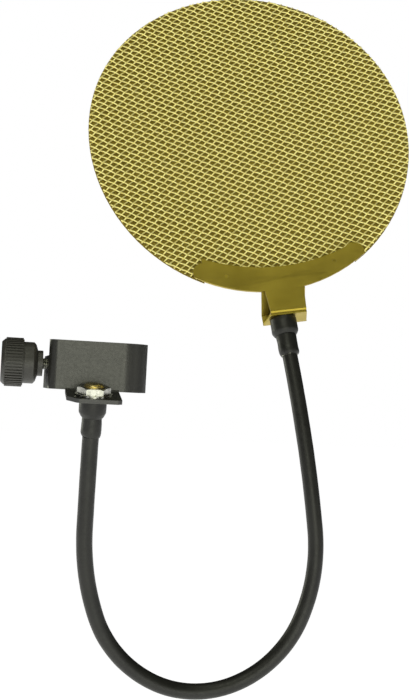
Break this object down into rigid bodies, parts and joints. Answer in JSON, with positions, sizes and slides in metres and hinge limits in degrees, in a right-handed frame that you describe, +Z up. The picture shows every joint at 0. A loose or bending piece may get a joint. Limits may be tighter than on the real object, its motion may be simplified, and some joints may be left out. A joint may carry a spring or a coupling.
{
  "type": "pop filter",
  "caption": "Oval gold metal mesh pop screen on a flexible black gooseneck, with a thumb-screw clamp that grips a round microphone stand tube.",
  "frame": {"origin": "on the axis of the stand tube, at the middle of the clamp's height", "axes": "+Z runs up the stand tube, -Y is the way the clamp's flat front faces, +X points from the thumb screw to the hook"},
  "size_m": [0.2199, 0.1254, 0.3895],
  "materials": {
    "clamp_paint": "satin black paint over bent steel strip",
    "knob_plastic": "moulded black plastic with a fine grain",
    "pad_nylon": "black nylon",
    "zinc_steel": "bright zinc plating",
    "turned_brass": "turned brass, bright",
    "heat_shrink": "black heat-shrink tubing with a soft sheen",
    "gooseneck_steel": "blackened spring steel",
    "gold_sheet": "satin gold plating",
    "gold_mesh": "bright gold plating on woven wire",
    "gold_liner": "gold plating on fine woven wire"
  },
  "bodies": {
    "clamp": {"clamp_bracket": "clamp_paint", "lower_end_fitting": "turned_brass", "lower_star_washer": "zinc_steel", "lower_hex_nut": "zinc_steel", "lower_collar_sleeve": "heat_shrink", "lower_cuff_sleeve": "heat_shrink", "neck_core_1": "gooseneck_steel", "neck_sleeve_1": "heat_shrink"},
    "pad": {"pressure_pad": "pad_nylon"},
    "knob": {"thumb_screw": "zinc_steel", "thumb_knob": "knob_plastic"},
    "neck_2": {"neck_core_2": "gooseneck_steel", "neck_sleeve_2": "heat_shrink"},
    "neck_3": {"neck_core_3": "gooseneck_steel", "neck_sleeve_3": "heat_shrink"},
    "neck_4": {"neck_core_4": "gooseneck_steel", "neck_sleeve_4": "heat_shrink"},
    "neck_5": {"neck_core_5": "gooseneck_steel", "neck_sleeve_5": "heat_shrink"},
    "neck_6": {"neck_core_6": "gooseneck_steel", "neck_sleeve_6": "heat_shrink"},
    "neck_7": {"neck_core_7": "gooseneck_steel", "neck_sleeve_7": "heat_shrink"},
    "screen": {"neck_core_8": "gooseneck_steel", "neck_sleeve_8": "heat_shrink", "upper_cuff_sleeve": "heat_shrink", "upper_collar_sleeve": "heat_shrink", "upper_end_fitting": "zinc_steel", "upper_star_washer": "zinc_steel", "upper_screw": "zinc_steel", "front_bracket": "gold_sheet", "rear_bracket": "gold_sheet", "bracket_rivets": "gold_sheet", "coarse_mesh": "gold_mesh", "fine_mesh": "gold_liner"}
  },
  "joints": [
    {"name": "pad_travel", "type": "slide", "parent": "clamp", "child": "pad", "axis": [1, 0, 0], "range_m": [-0.018, 0.0009]},
    {"name": "screw_turn", "type": "hinge", "parent": "pad", "child": "knob", "pos_m": [-0.0391, 0, 0], "axis": [1, 0, 0], "range_deg": [-6500, 340]},
    {"name": "neck_bend_1", "type": "hinge", "parent": "clamp", "child": "neck_2", "pos_m": [-0.01468, -0.01042, -0.07927], "axis": [0, -0.9816, -0.1908], "range_deg": [-20, 6]},
    {"name": "neck_bend_2", "type": "hinge", "parent": "neck_2", "child": "neck_3", "pos_m": [-0.00605, -0.00178, -0.12368], "axis": [0.9348, -0.0678, 0.3486], "range_deg": [-12, 12]},
    {"name": "neck_bend_3", "type": "hinge", "parent": "neck_3", "child": "neck_4", "pos_m": [0.02421, 0.00464, -0.15672], "axis": [0, -0.9816, -0.1908], "range_deg": [-20, 6]},
    {"name": "neck_bend_4", "type": "hinge", "parent": "neck_4", "child": "neck_5", "pos_m": [0.06886, 0.00468, -0.15695], "axis": [-0.4431, -0.1711, 0.88], "range_deg": [-12, 12]},
    {"name": "neck_bend_5", "type": "hinge", "parent": "neck_5", "child": "neck_6", "pos_m": [0.09923, 0.00158, -0.12362], "axis": [0.0985, -0.9917, -0.0828], "range_deg": [-20, 6]},
    {"name": "neck_bend_6", "type": "hinge", "parent": "neck_6", "child": "neck_7", "pos_m": [0.10459, 0.00174, -0.07811], "axis": [-0.9853, -0.1229, -0.1184], "range_deg": [-12, 12]},
    {"name": "neck_bend_7", "type": "hinge", "parent": "neck_7", "child": "screen", "pos_m": [0.09813, 0.00746, -0.03266], "axis": [0.0949, -0.9726, 0.2121], "range_deg": [-20, 6]}
  ],
  "couplings": [
    {"joint": "screw_turn", "follows": "pad_travel", "rad_per_m": 6283.2}
  ]
}
